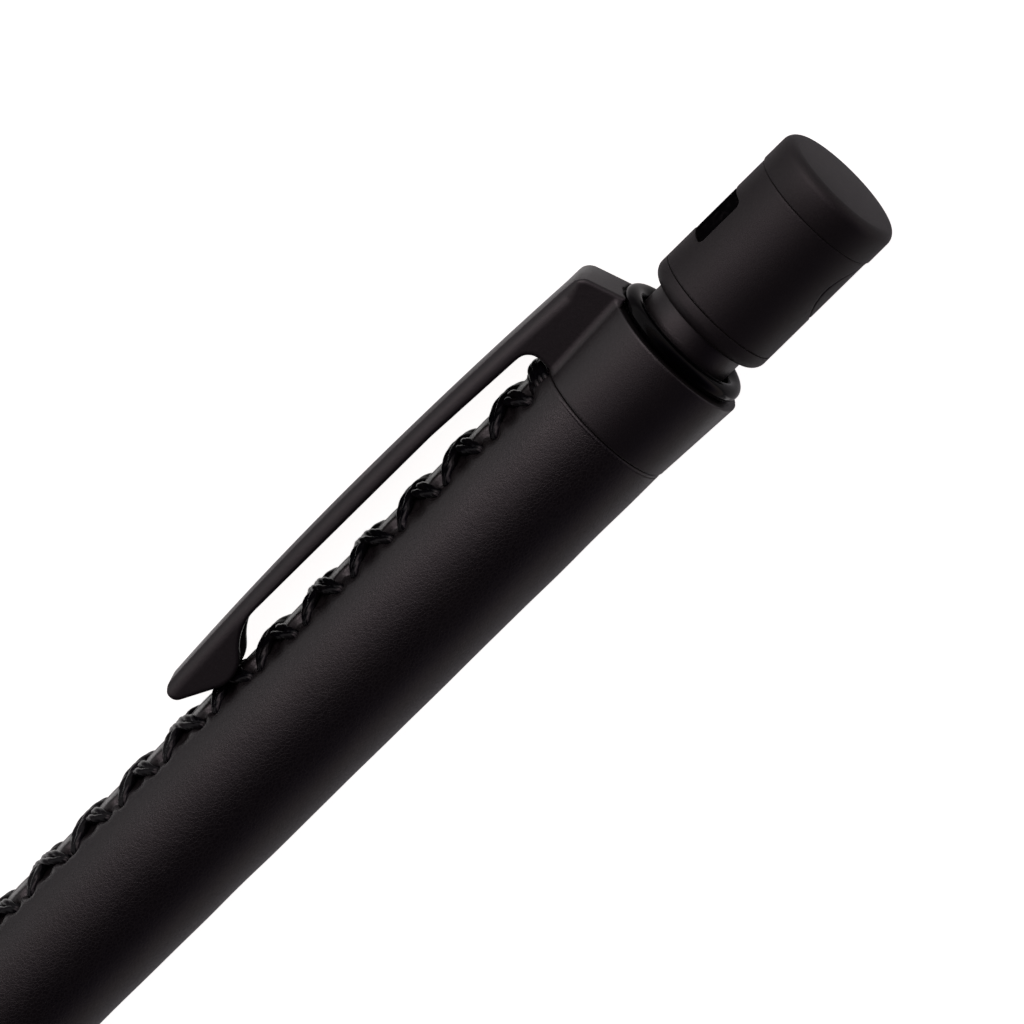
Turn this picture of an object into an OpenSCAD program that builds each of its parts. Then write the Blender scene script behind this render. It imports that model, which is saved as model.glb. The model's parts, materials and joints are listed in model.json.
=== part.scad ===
// Leather-covered clutch pencil for thick leads, lying on its side on a table.
//
// Every piece is drawn standing on the pencil's own axis: z runs along the pencil from the
// writing tip to the push button, with z = 0 at the button end of the collar, y points
// towards the clip and x is across the clip. lay_down() then turns the pieces over, so that
// the pencil lies along the row's X axis and rests on the rim of the collar, the front ring
// and the outer edge of the clip.

/* [Lead] */
// Diameter of the lead
lead_d = 5.6; // [5.4:0.1:5.7]
// Length of a new lead
lead_len = 120; // [60:1:122]
// Length of the sharpened cone on the lead
lead_point_len = 4.1; // [3:0.1:6]

/* [Barrel] */
// Outer diameter over the leather
barrel_d = 12; // [11.9:0.05:12.1]
// Thickness of the leather
leather_t = 0.9; // [0.85:0.05:0.95]
// Length of the leather sleeve
leather_len = 90; // [80:1:110]
// Wall of the inner tube
tube_wall = 0.6; // [0.5:0.05:0.6]

/* [Seam] */
// Distance from one cross stitch to the next
stitch_pitch = 5.18; // [4:0.02:8]
// Length of a cross stitch along the seam, between the middles of its feet
stitch_len = 2.9; // [2:0.1:3.4]
// Thickness of the waxed thread
thread_d = 0.9; // [0.6:0.05:1]

/* [Collar and clip] */
// Length of the collar
collar_len = 7.67; // [7.5:0.01:9]
// Diameter over the flared rim of the collar
collar_rim_d = 12.76; // [12.5:0.02:13]
// Width of the clip
clip_w = 5.1; // [4.6:0.1:5.6]
// Height of the clip's highest point above the axis
clip_crest_h = 9.88; // [9.6:0.02:10.2]
// Thickness of the sheet that the clip and its collar are pressed from
clip_sheet = 0.8; // [0.6:0.05:1]

/* [Push button] */
// Diameter of the push button
button_d = 11; // [10.9:0.05:11.2]
// Diameter of the stem below the push button
stem_d = 8.5; // [8.4:0.05:8.5]

/* [Hidden] */
$fn = 96;

// fits
running = 0.05;  // radial clearance where one piece slides in another
press = 0.01;    // radial gap left between pieces that are pressed together
eps = 0.5;       // how far a cutting solid runs past the face it cuts

// radii
lead_r = lead_d / 2;
barrel_r = barrel_d / 2;
tube_r = barrel_r - leather_t;
tube_bore_r = tube_r - tube_wall;
rim_r = collar_rim_d / 2;
stem_r = stem_d / 2;
button_r = button_d / 2;
lead_bore_r = lead_r + 0.15;
lead_tube_r = lead_bore_r + 0.55;
guide_r = tube_bore_r - running;

// stations along the axis, from the collar to the tip
leather_top = -collar_len;
leather_end = leather_top - leather_len;
ring_len = 2;
nose_top = leather_end - ring_len;
tube_end = nose_top - 3;
tube_top = -4.5;
nose_len = 18;
nose_mouth = nose_top - nose_len;

// the seam and its cross stitches
seam_w = 0.6;
seam_depth = 0.3;
stitch_crest_h = barrel_r + 0.7;
stitch_foot_a = 33;
stitch_first = leather_top - 4.23;
stitch_count = floor((leather_len - 5.5) / stitch_pitch) + 1;

// the nose cone: a straight grip, a taper and a mouth that squeezes the jaws
grip_r = 5.6;
grip_len = 7.3;
mouth_r = 4.75;
mouth_round = 0.75;
nose_bore_r = 4.4;
neck_r = lead_r + 0.95;
seat_a = 20;
seat_len = 1.1;
neck_len = 1.07;

// the clutch
jaw_count = 4;
jaw_gap = 0.05;
jaw_slot_a = 12;
jaw_grip_r = lead_r + running;
jaw_leaf_r = lead_r + 0.6;
jaw_head_r = jaw_leaf_r + 0.95;
jaw_tip = nose_mouth - 3.83;
jaw_clear = 0.03;
clutch_end = nose_top - 1.33;
jaw_root = clutch_end - jaw_gap;
flange_z = clutch_end + 13;
flange_t = 2;
socket_len = 8;
socket_r = 4.1;
lead_tube_end = flange_z + flange_t;
seat_z = clutch_end - 0.5;
seat_t = 1;

// the return spring between the seat and the flange
washer_t = 0.4;
wire_r = 0.28;
spring_r = 3.95;
spring_low = seat_z + seat_t + wire_r;
spring_high = flange_z - washer_t - wire_r;
spring_turns = 7;
spring_steps = 14;
wire_sides = 6;

// the stem and the bush that guides it
stem_low = -16;
stem_top = 6.6;
stem_socket_top = -8;
stem_bore_r = lead_r + 0.3;
o_ring_z = 4.8;
o_ring_r = 0.22;
lip_r = 0.72;
lip_z = 0.75;
lip_ring_r = stem_r + 0.93;

// the push button
base_z = 3.2;
base_h = 1.65;
base_chamfer = 1;
spigot_h = 1.1;
shell_z = base_z + base_h;
shell_top = 15.4;
shell_bore_r = button_r - 0.9;
end_r = button_r + 0.09;
end_top = 18.55;
end_round = 1.2;
end_spigot_h = 0.95;
line_gap = 0.05;

// the lead pointer inside the push button
core_low = 6.85;
core_top = 14.4;
core_mouth_len = 2.15;
cone_low = core_low + core_mouth_len;
cone_top = cone_low + 4.2;
cone_tip_r = 0.5;
window_w = 5.6;
window_len = 4.5;
window_z = 10.05;
window_round = 0.5;
pad_gap = 0.08;
pad_r = button_r - 0.04;
boss_r = 3;
boss_z = 12.1;
chip_w = 1;
chip_len = 3.2;
cone_a = atan((lead_bore_r - cone_tip_r) / (cone_top - cone_low));
blade_t = 0.45;
blade_w = 2.9;
blade_len = 4.8;
blade_gap = 0.025;
screw_r = 0.7;
screw_x = 1.8;
screw_y = 2.75;
screw_low = 11.6;

// the clip's outline, as heights above the axis
crest_z = -24.5;
arch_r_button = 455;
arch_r_tip = 330;
split_z = -8.9;
split_gap = 0.03;
nose_c = [-46, 8.38];
nose_round = 0.8;
sole_c = [-42.5, 8.64];
sole_round = 2.6;
heel_round = 4.37;
heel_c = [-37.15, 4.16];
channel_h = heel_c[1] + heel_round;
web_z = -17.7;
web_h = 8.13;
throat_c = [-8.6, 6.9];
throat_round = 1.2;
shoulder_c = [-1.4, 8.05];
shoulder_round = 1.25;
shoulder_a = 18.9;
back_foot = [0.85, 5.3];
bush_clear_r = 6.05;
clip_top_t = 0.9;

// how the pencil lies: turned until the clip's outer edge comes down to the table
clip_reach = sqrt(pow(clip_crest_h, 2) + pow(clip_w / 2, 2));
roll = asin(rim_r / clip_reach) - atan(clip_w / 2 / clip_crest_h);
clip_side_y = clip_crest_h * cos(roll) + clip_w / 2 * sin(roll);
lead_tip = jaw_tip - 0.4 - lead_point_len;
x_shift = -(end_top + lead_tip) / 2;
y_shift = (rim_r - clip_side_y) / 2;

function arc(c, r, from, to, steps) = [for (i = [0:steps])
    let (a = from + (to - from) * i / steps) [c[0] + r * cos(a), c[1] + r * sin(a)]];

function clip_top(z) =
    clip_crest_h - pow(z - crest_z, 2) / (2 * (z > crest_z ? arch_r_button : arch_r_tip));

function arch(from, to, steps, drop = 0) = [for (i = [0:steps])
    let (z = from + (to - from) * i / steps) [z, clip_top(z) - drop]];

module lay_down() {
    translate([x_shift, y_shift, rim_r]) rotate([-roll, 0, 0]) rotate([0, 90, 0]) children();
}

module rod(r, from, to) {
    translate([0, 0, from]) cylinder(r = r, h = to - from);
}

module sleeve(outer, inner, from, to) {
    difference() {
        rod(outer, from, to);
        rod(inner, from - eps, to + eps);
    }
}

// an outline in z and y, made width wide across the clip
module side_plate(outline, width) {
    rotate([0, -90, 0]) linear_extrude(width, center = true) polygon(outline);
}

// a rounded rectangle seen from the clip side, running from one height to another
module window_block(w, len, round, low, high) {
    translate([0, high, window_z]) rotate([90, 0, 0]) linear_extrude(high - low) {
        square([w - 2 * round, len], center = true);
        square([w, len - 2 * round], center = true);
        for (x = [-1, 1], z = [-1, 1])
            translate([x * (w / 2 - round), z * (len / 2 - round)]) circle(round);
    }
}

module barrel_tube() {
    color("goldenrod") lay_down() sleeve(tube_r, tube_bore_r, tube_end, tube_top);
}

module leather_sleeve() {
    color([0.12, 0.11, 0.11]) lay_down() difference() {
        sleeve(barrel_r, tube_r + press, leather_end, leather_top);
        translate([-seam_w / 2, barrel_r - seam_depth, leather_end - eps])
            cube([seam_w, 2 * seam_depth, leather_len + 2 * eps]);
    }
}

// one leg of a cross stitch, from its crest over the seam to a foot in the leather
module stitch_leg(side, along) {
    crest = stitch_crest_h - thread_d / 2;
    foot_r = barrel_r - 0.15;
    foot = [side * foot_r * sin(stitch_foot_a), foot_r * cos(stitch_foot_a) - crest,
        along * stitch_len / 2];
    leg = norm(foot);
    translate([0, crest, 0])
        rotate([0, acos(foot[2] / leg), atan2(foot[1], foot[0])])
        cylinder(d = thread_d, h = leg, $fn = 24);
}

module seam_stitches() {
    color([0.03, 0.03, 0.03]) lay_down() for (i = [0:stitch_count - 1])
        translate([0, 0, stitch_first - i * stitch_pitch]) {
            for (side = [-1, 1], along = [-1, 1]) stitch_leg(side, along);
            translate([0, stitch_crest_h - thread_d / 2, 0]) sphere(d = thread_d, $fn = 24);
        }
}

module collar_ring() {
    rim_round = 0.35;
    rim_c = [rim_r - rim_round, -rim_round];
    front_edge = [[tube_r + press, leather_top], [barrel_r, leather_top],
        [barrel_r + 0.06, leather_top + 0.12]];
    rotate_extrude() polygon(concat(front_edge, arc(rim_c, rim_round, 0, 90, 6),
        [[tube_r + press, 0]]));
}

// the box-shaped root where the collar's sheet rises into the clip
module clip_root() {
    foot_h = back_foot[1];
    outline = concat([[throat_c[0] + throat_round, foot_h]],
        arc(throat_c, throat_round, 0, 90, 8),
        [[split_z, throat_c[1] + throat_round]],
        arch(split_z, shoulder_c[0], 6),
        arc(shoulder_c, shoulder_round, 90, shoulder_a, 8), [back_foot]);
    inner_c = shoulder_c - [0.1, 0.1];
    hollow = concat([[split_z - eps, foot_h - eps]],
        arch(split_z - eps, inner_c[0], 6, clip_top_t),
        arc(inner_c, shoulder_round - clip_sheet, 90, shoulder_a, 4),
        [[back_foot[0] - clip_sheet, foot_h - eps]]);
    difference() {
        side_plate(outline, clip_w);
        side_plate(hollow, clip_w - 2 * clip_sheet);
    }
}

module clip_collar() {
    color([0.17, 0.15, 0.15]) lay_down() difference() {
        union() {
            collar_ring();
            clip_root();
        }
        rod(tube_r + press, leather_top - eps, eps);
        rod(bush_clear_r, 0, 2);
    }
}

module clip_arm() {
    root = split_z - split_gap;
    outline = concat(arch(root, nose_c[0], 24),
        arc(nose_c, nose_round, 90, 240, 10),
        arc(sole_c, sole_round, 240, 320, 10),
        arc(heel_c, heel_round, 140, 90, 8),
        [[web_z, channel_h], [root, web_h]]);
    channel_tip = nose_c[0] + 0.5;
    hollow = concat(arch(root + eps, channel_tip + 1, 20, clip_top_t),
        [[channel_tip, nose_c[1] - 0.3], [channel_tip, 5], [root + eps, 5]]);
    color([0.17, 0.15, 0.15]) lay_down() difference() {
        side_plate(outline, clip_w);
        side_plate(hollow, clip_w - 2 * clip_sheet);
    }
}

module end_bush() {
    color([0.05, 0.05, 0.05]) lay_down() {
        sleeve(tube_r - press, stem_r + running, tube_top, -0.3);
        sleeve(tube_r - press, lip_ring_r - lip_r, -0.3, lip_z);
        rotate_extrude() translate([lip_ring_r, lip_z]) circle(lip_r);
    }
}

module front_ring() {
    edge = ring_len / 2;
    color([0.17, 0.15, 0.15]) lay_down() difference() {
        union() {
            rod(rim_r - edge, nose_top, leather_end);
            rotate_extrude() translate([rim_r - edge, leather_end - edge]) circle(edge);
        }
        rod(tube_r + press, nose_top - eps, leather_end + eps);
    }
}

module nose_cone() {
    taper_top = nose_top - grip_len;
    round_c = [mouth_r - mouth_round, nose_mouth + mouth_round];
    seat_r = neck_r + seat_len * tan(seat_a);
    neck_low = nose_mouth + seat_len;
    neck_high = neck_low + neck_len;
    outside = concat([[0, nose_top], [grip_r, nose_top], [grip_r, taper_top]],
        arc(round_c, mouth_round, 5, -60, 6), [[seat_r, nose_mouth], [0, nose_mouth]]);
    inside = [[0, nose_mouth - eps], [seat_r + eps * tan(seat_a), nose_mouth - eps],
        [neck_r, neck_low], [neck_r, neck_high],
        [nose_bore_r, neck_high + 3], [nose_bore_r, tube_end + eps], [0, tube_end + eps]];
    color([0.17, 0.15, 0.15]) lay_down() difference() {
        rotate_extrude() polygon(outside);
        rotate_extrude() polygon(inside);
        rod(tube_r + press, tube_end, nose_top + eps);
    }
}

module spring_seat() {
    color("gold") lay_down()
        sleeve(tube_bore_r - press, lead_tube_r + 0.15, seat_z, seat_z + seat_t);
}

// ring number i of the spring's wire, as points around the wire
function wire_ring(i) = let (a = 360 * i / spring_steps,
    z = spring_low + (spring_high - spring_low) * i / (spring_turns * spring_steps))
    [for (k = [0:wire_sides - 1]) let (b = 360 * k / wire_sides, r = spring_r + wire_r * cos(b))
        [r * cos(a), r * sin(a), z + wire_r * sin(b)]];

module return_spring() {
    rings = spring_turns * spring_steps;
    points = [for (i = [0:rings]) each wire_ring(i)];
    walls = [for (i = [0:rings - 1], k = [0:wire_sides - 1])
        let (next = (k + 1) % wire_sides, low = i * wire_sides, high = low + wire_sides)
        each [[low + k, high + k, low + next], [low + next, high + k, high + next]]];
    start = [[for (k = [0:wire_sides - 1]) k]];
    end = [[for (k = [wire_sides - 1:-1:0]) rings * wire_sides + k]];
    color("silver") lay_down() polyhedron(points, concat(start, walls, end));
}

module spring_washer() {
    color("lightgray") lay_down()
        sleeve(guide_r - 0.1, lead_tube_r + press, flange_z - washer_t, flange_z);
}

module clutch_sleeve() {
    socket_top = lead_tube_end + socket_len;
    color("gold") lay_down() difference() {
        union() {
            rod(lead_tube_r, clutch_end, flange_z);
            rod(guide_r, flange_z, lead_tube_end);
            rod(socket_r, lead_tube_end, socket_top);
        }
        rod(lead_bore_r, clutch_end - eps, socket_top);
        rod(lead_tube_r + press, lead_tube_end, socket_top + eps);
    }
}

// one quarter of the split clutch: a thin leaf with a thick head outside the mouth
module clutch_jaw(number) {
    neck_low = nose_mouth + seat_len;
    slope = tan(seat_a);
    cone_r = neck_r - jaw_clear;
    cone_start = neck_low + (cone_r - jaw_leaf_r) / slope;
    cone_end = neck_low - (jaw_head_r - cone_r) / slope;
    grip_z = jaw_tip + 8.5;
    outline = [[lead_bore_r, jaw_root], [jaw_leaf_r, jaw_root], [jaw_leaf_r, cone_start],
        [jaw_head_r, cone_end], [jaw_head_r + 0.05, cone_end - 0.5],
        [jaw_head_r - 0.25, jaw_tip + 1.2], [jaw_grip_r + 0.6, jaw_tip],
        [jaw_grip_r, jaw_tip], [jaw_grip_r, grip_z], [lead_bore_r, grip_z + 0.1]];
    turn = 360 / jaw_count;
    color("silver") lay_down()
        rotate([0, 0, (number - 1) * turn + jaw_slot_a / 2])
        rotate_extrude(angle = turn - jaw_slot_a) polygon(outline);
}

module clutch_jaw_1() clutch_jaw(1);
module clutch_jaw_2() clutch_jaw(2);
module clutch_jaw_3() clutch_jaw(3);
module clutch_jaw_4() clutch_jaw(4);

module lead_tube() {
    color("gold") lay_down()
        sleeve(lead_tube_r, lead_bore_r, lead_tube_end, stem_socket_top);
}

module tube_guide() {
    guide_z = leather_end / 2;
    color("dimgray") lay_down()
        sleeve(guide_r, lead_tube_r + press, guide_z, guide_z + 6);
}

module stem() {
    color([0.17, 0.15, 0.15]) lay_down() difference() {
        rod(stem_r, stem_low, stem_top);
        rod(lead_tube_r + press, stem_low - eps, stem_socket_top);
        rod(stem_bore_r, stem_socket_top - eps, stem_top + eps);
        sleeve(stem_r + eps, stem_r - 2 * o_ring_r, o_ring_z - o_ring_r, o_ring_z + o_ring_r);
    }
}

module stem_o_ring() {
    ring_r = stem_r + running - 0.03 - o_ring_r;
    color([0.1, 0.1, 0.1]) lay_down()
        rotate_extrude() translate([ring_r, o_ring_z]) circle(o_ring_r - press);
}

module lead() {
    color([0.3, 0.3, 0.32]) lay_down() {
        rod(lead_r, lead_tip + lead_point_len, lead_tip + lead_len);
        translate([0, 0, lead_tip]) cylinder(r1 = 0.45, r2 = lead_r, h = lead_point_len);
    }
}

module button_base() {
    bore = stem_r + running;
    round_c = [button_r - base_chamfer, base_z + base_chamfer];
    outline = concat([[bore, base_z], [bore + 0.1, base_z]],
        arc(round_c, base_chamfer, -50, 0, 6),
        [[button_r, shell_z - line_gap], [shell_bore_r - press, shell_z - line_gap],
        [shell_bore_r - press, shell_z + spigot_h], [bore, shell_z + spigot_h]]);
    color([0.17, 0.15, 0.15]) lay_down() rotate_extrude() polygon(outline);
}

module button_shell() {
    color([0.17, 0.15, 0.15]) lay_down() difference() {
        sleeve(button_r, shell_bore_r, shell_z, shell_top);
        window_block(window_w, window_len, window_round, 3, button_r + 1);
        translate([0, -3, boss_z]) rotate([90, 0, 0]) cylinder(r = boss_r, h = button_r);
    }
}

module button_end() {
    spigot_z = shell_top - end_spigot_h;
    outline = concat([[0, spigot_z], [shell_bore_r - press, spigot_z],
        [shell_bore_r - press, shell_top + line_gap], [end_r, shell_top + line_gap]],
        arc([end_r - end_round, end_top - end_round], end_round, 0, 90, 8), [[0, end_top]]);
    color([0.2, 0.18, 0.18]) lay_down() rotate_extrude() polygon(outline);
}

// a plate lying along the clip side of the pointer's cone, raised off it by gap
module along_cone(width, len, thick, gap) {
    translate([0, lead_bore_r, cone_low]) rotate([cone_a, 0, 0])
        translate([-0.1, gap, -0.4]) cube([width, thick, len]);
}

module pointer_core() {
    color([0.06, 0.06, 0.06]) lay_down() difference() {
        union() {
            rod(shell_bore_r - press, core_low, core_top);
            intersection() {
                rod(pad_r, core_low, core_top);
                union() {
                    window_block(window_w - 2 * pad_gap, window_len - 2 * pad_gap,
                        window_round, 3, button_r + 1);
                    translate([0, -3, boss_z]) rotate([90, 0, 0])
                        cylinder(r = boss_r - pad_gap, h = button_r);
                }
            }
        }
        rod(lead_bore_r, core_low - eps, cone_low);
        translate([0, 0, cone_low])
            cylinder(r1 = lead_bore_r, r2 = cone_tip_r, h = cone_top - cone_low);
        along_cone(blade_w + 2, blade_len, blade_t + 2 * blade_gap, 0);
        translate([-chip_w, 0, window_z - chip_len / 2]) cube([chip_w, button_r, chip_len]);
        translate([screw_x, screw_y, screw_low - 2]) cylinder(r = screw_r + press, h = 6);
    }
}

module pointer_blade() {
    color("silver") lay_down()
        translate([0.1, 0, 0]) along_cone(blade_w, blade_len - 0.1, blade_t, blade_gap);
}

module blade_screw() {
    drive_w = 0.35;
    drive_depth = 0.4;
    color("gold") lay_down() difference() {
        translate([screw_x, screw_y, 0]) rod(screw_r, screw_low, core_top - 0.1);
        translate([screw_x - 1, screw_y - drive_w / 2, core_top - 0.1 - drive_depth])
            cube([2, drive_w, 1]);
    }
}

barrel_tube();
leather_sleeve();
seam_stitches();
clip_collar();
clip_arm();
end_bush();
front_ring();
nose_cone();
spring_seat();
return_spring();
spring_washer();
clutch_sleeve();
clutch_jaw_1();
clutch_jaw_2();
clutch_jaw_3();
clutch_jaw_4();
lead_tube();
tube_guide();
stem();
stem_o_ring();
lead();
button_base();
button_shell();
button_end();
pointer_core();
pointer_blade();
blade_screw();
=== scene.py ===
import json
import math

import bmesh
import bpy
import numpy as np
import openvdb
from mathutils import Matrix, Vector

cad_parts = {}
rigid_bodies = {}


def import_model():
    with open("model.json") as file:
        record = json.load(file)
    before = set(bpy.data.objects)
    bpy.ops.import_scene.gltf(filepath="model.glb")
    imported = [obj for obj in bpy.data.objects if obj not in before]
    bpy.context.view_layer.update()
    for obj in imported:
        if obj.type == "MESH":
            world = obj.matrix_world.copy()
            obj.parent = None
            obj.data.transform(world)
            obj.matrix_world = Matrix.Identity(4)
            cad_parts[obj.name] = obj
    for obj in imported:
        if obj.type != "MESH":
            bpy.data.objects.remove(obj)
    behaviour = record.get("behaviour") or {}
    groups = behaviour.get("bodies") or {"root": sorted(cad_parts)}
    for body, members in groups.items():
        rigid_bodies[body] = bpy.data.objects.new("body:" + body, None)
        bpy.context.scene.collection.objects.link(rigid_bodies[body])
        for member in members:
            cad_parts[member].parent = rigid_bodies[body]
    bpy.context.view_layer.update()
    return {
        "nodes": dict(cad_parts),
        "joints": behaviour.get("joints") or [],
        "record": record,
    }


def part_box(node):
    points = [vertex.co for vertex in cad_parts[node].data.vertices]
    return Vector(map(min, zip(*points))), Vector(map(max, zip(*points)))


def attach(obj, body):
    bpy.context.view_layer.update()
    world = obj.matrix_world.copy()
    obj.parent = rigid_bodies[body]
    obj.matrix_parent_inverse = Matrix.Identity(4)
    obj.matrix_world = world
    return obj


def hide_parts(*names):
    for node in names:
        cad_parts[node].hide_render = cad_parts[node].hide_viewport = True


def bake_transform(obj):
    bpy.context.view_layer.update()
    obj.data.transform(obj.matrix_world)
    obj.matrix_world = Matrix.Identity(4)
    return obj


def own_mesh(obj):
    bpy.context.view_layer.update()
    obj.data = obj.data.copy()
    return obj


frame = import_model()

# The pencil's own axes: u along it towards the push button, h towards the clip and w out of
# the clip's side, in millimetres from the middle of the collar's button end.
MM = 0.001
COLLAR_LEN = 7.67
ALONG = Vector((1, 0, 0))
SIDEWAYS = -Vector({j["name"]: j for j in frame["joints"]}["clip_flex"]["axis"]).normalized()
TO_CLIP = SIDEWAYS.cross(ALONG)
stem_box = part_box("stem")
ORIGIN = (stem_box[0] + stem_box[1]) / 2
ORIGIN.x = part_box("leather_sleeve")[1].x + COLLAR_LEN * MM
AXES = np.array([ALONG, TO_CLIP, SIDEWAYS])

# sizes in mm, as the CAD has them
BARREL_R = 6.0
ON_TUBE_R = 5.11              # bore of what sits on the barrel tube
TUBE_BORE_R = 4.40            # and of the tube itself, inside the nose
STEM_R = 4.25
ON_STEM_R = 4.30              # bore of what runs on the stem
BUTTON_R = 5.5
CAP_R = 5.59                  # its end cap is a little wider
CORE_R = 4.59                 # what sits inside the push button's shell
LEATHER_FROM, LEATHER_TO = -97.67, -7.67
RING_TO = -99.67              # tip end of the front ring


# ---------------------------------------------------------------- mesh helpers

WELD = 2e-7                   # metres
SUPPORT = 0.05                # mm from a corner to the support point of a straight run


def to_world(points):
    """Points (u, h, w) in mm, as an array of points in the row frame in metres."""
    return np.array(ORIGIN) + MM * np.asarray(points, float).reshape(-1, 3) @ AXES


def add_mesh(name, points, faces, material, weld=False):
    """A smooth mesh object from points (u, h, w) in mm and lists of point numbers."""
    mesh = bpy.data.meshes.new(name)
    faces = faces.tolist() if isinstance(faces, np.ndarray) else faces
    mesh.from_pydata(to_world(points).tolist(), [], faces)
    bm = bmesh.new()
    bm.from_mesh(mesh)
    if weld:
        bmesh.ops.remove_doubles(bm, verts=bm.verts, dist=WELD)
    bmesh.ops.recalc_face_normals(bm, faces=bm.faces)
    bm.to_mesh(mesh)
    bm.free()
    mesh.polygons.foreach_set("use_smooth", [True] * len(mesh.polygons))
    obj = bpy.data.objects.new(name, mesh)
    bpy.context.scene.collection.objects.link(obj)
    mesh.materials.append(material)
    return obj


def finish_piece(obj, body, slot, *nodes):
    """Rides the piece on its body and hides the CAD nodes that it stands for."""
    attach(obj, body)
    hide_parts(*nodes)
    return obj


def grid_faces(rows, cols, wrap_rows=False):
    """Quads of a grid of points, numbered row by row. Each row is a closed ring."""
    i = np.arange(rows if wrap_rows else rows - 1)[:, None]
    j = np.arange(cols)[None, :]
    i2, j2 = (i + 1) % rows, (j + 1) % cols
    quads = np.stack([i * cols + j, i2 * cols + j, i2 * cols + j2, i * cols + j2], axis=-1)
    return quads.reshape(-1, 4)


def tube_mesh(rings):
    """Points and faces of a tube through rings of points, closed at both ends."""
    count, sides = rings.shape[:2]
    faces = grid_faces(count, sides).tolist()
    faces += [list(range(sides)), list(range((count - 1) * sides, count * sides))]
    return rings.reshape(-1, 3), faces


def arc(centre, radius, start, end, steps):
    """Points of an arc, with its angles in degrees."""
    angle = np.radians(np.linspace(start, end, steps + 1))
    return np.stack([centre[0] + radius * np.cos(angle), centre[1] + radius * np.sin(angle)], 1)


def rounded(corners, steps=5):
    """A closed outline from corners (u, r, radius of the corner), each turned into an arc.
    Long straight runs get a support point near each end, which keeps their shading flat."""
    corners = [tuple(c) + (0,) * (3 - len(c)) for c in corners]
    out = []
    for k, (x, y, radius) in enumerate(corners):
        here = np.array([x, y])
        before = np.array(corners[k - 1][:2]) - here
        after = np.array(corners[(k + 1) % len(corners)][:2]) - here
        before, after = (v / np.linalg.norm(v) for v in (before, after))
        half = math.acos(float(np.clip(before @ after, -1, 1))) / 2
        if radius <= 0 or half > math.radians(89):
            out.append(here)
            continue
        reach = radius / math.tan(half)
        centre = here + (before + after) / np.linalg.norm(before + after) * radius / math.sin(half)
        a, b = here + before * reach - centre, here + after * reach - centre
        start = math.atan2(a[1], a[0])
        turn = (math.atan2(b[1], b[0]) - start + math.pi) % (2 * math.pi) - math.pi
        for s in range(steps + 1):
            angle = start + turn * s / steps
            out.append(centre + radius * np.array([math.cos(angle), math.sin(angle)]))
    full = []
    for k, p in enumerate(out):
        q = out[(k + 1) % len(out)]
        full.append(p)
        length = np.linalg.norm(q - p)
        if length > 4 * SUPPORT:
            step = (q - p) / length * SUPPORT
            full += [p + step, q - step]
    return np.array(full)


def lathe(name, outline, material, turns=144):
    """The closed outline of (u, r) turned round the pencil's axis."""
    u, r = np.asarray(outline).T
    angle = np.arange(turns) * 2 * math.pi / turns
    points = np.stack([np.repeat(u[:, None], turns, 1), r[:, None] * np.cos(angle),
                       r[:, None] * np.sin(angle)], axis=-1)
    faces = grid_faces(len(u), turns, wrap_rows=True)
    return add_mesh(name, points, faces, material, weld=True)


def cut(a, b, k):
    """Where both fields are inside, with the edge between them rounded to radius k."""
    return (np.minimum(np.maximum(a, b), -k)
            + np.hypot(np.maximum(a + k, 0), np.maximum(b + k, 0)))


def join(a, b, k):
    """Where either field is inside, with a fillet of radius k between them."""
    return -cut(-a, -b, k)


def outline_field(x, y, outline):
    """Signed distance of (x, y) from a closed outline, below zero inside it."""
    x, y = np.broadcast_arrays(x, y)
    nearest = np.full(x.shape, 1e9)
    inside = np.zeros(x.shape, bool)
    for (ax, ay), (bx, by) in zip(outline, np.roll(outline, -1, axis=0)):
        ex, ey = bx - ax, by - ay
        px, py = x - ax, y - ay
        t = np.clip((px * ex + py * ey) / (ex * ex + ey * ey), 0, 1)
        nearest = np.minimum(nearest, (px - t * ex) ** 2 + (py - t * ey) ** 2)
        if ey != 0:
            inside ^= ((ay > y) != (by > y)) & (px < ex * py / ey)
    return np.where(inside, -1, 1) * np.sqrt(nearest)


BAND = 3                      # cells on each side of the surface that the grid keeps
NEWTON_STEPS = 4
LEAST_SLOPE = 0.25            # squared, so that a flat spot doesn't throw a point away


def implicit_mesh(field, low, high, cell):
    """Points and quads of the surface where field(u, h, w) is zero. The points are drawn
    exactly onto the surface, so it shades as smoothly as the field does."""
    cell = cell * 1
    axes = [np.arange(a, b + cell, cell) for a, b in zip(low, high)]
    values = field(*np.meshgrid(*axes, indexing="ij", sparse=True))
    grid = openvdb.FloatGrid(background=BAND * cell)
    grid.copyFromArray(np.clip(values, -BAND * cell, BAND * cell).astype(np.float32))
    points, quads = grid.convertToQuads()
    points = np.array(low) + cell * points.astype(float)
    nudge, longest = cell * 0.02, cell * 0.5
    for _ in range(NEWTON_STEPS):
        here = field(*points.T)
        slope = np.stack([field(*(points + d).T) - field(*(points - d).T)
                          for d in np.eye(3) * nudge], axis=-1) / (2 * nudge)
        step = slope * (here / np.maximum((slope ** 2).sum(1), LEAST_SLOPE))[:, None]
        size = np.linalg.norm(step, axis=1, keepdims=True)
        points -= step * np.minimum(1, longest / np.maximum(size, 1e-9))
    return points, quads


def implicit(name, field, low, high, cell, material):
    """The surface of a field as a mesh object."""
    return add_mesh(name, *implicit_mesh(field, low, high, cell), material)


# ---------------------------------------------------------------- materials

SOCKETS = {"specular": "Specular IOR Level", "metallic": "Metallic", "glow": "Emission Color"}
VECTOR_A, VECTOR_B, VECTOR_OUT = 4, 5, 1      # a Mix node's sockets for each kind of data
COLOUR_A, COLOUR_B, COLOUR_OUT = 6, 7, 2
RANGE = ("From Min", "From Max", "To Min", "To Max")


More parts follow.
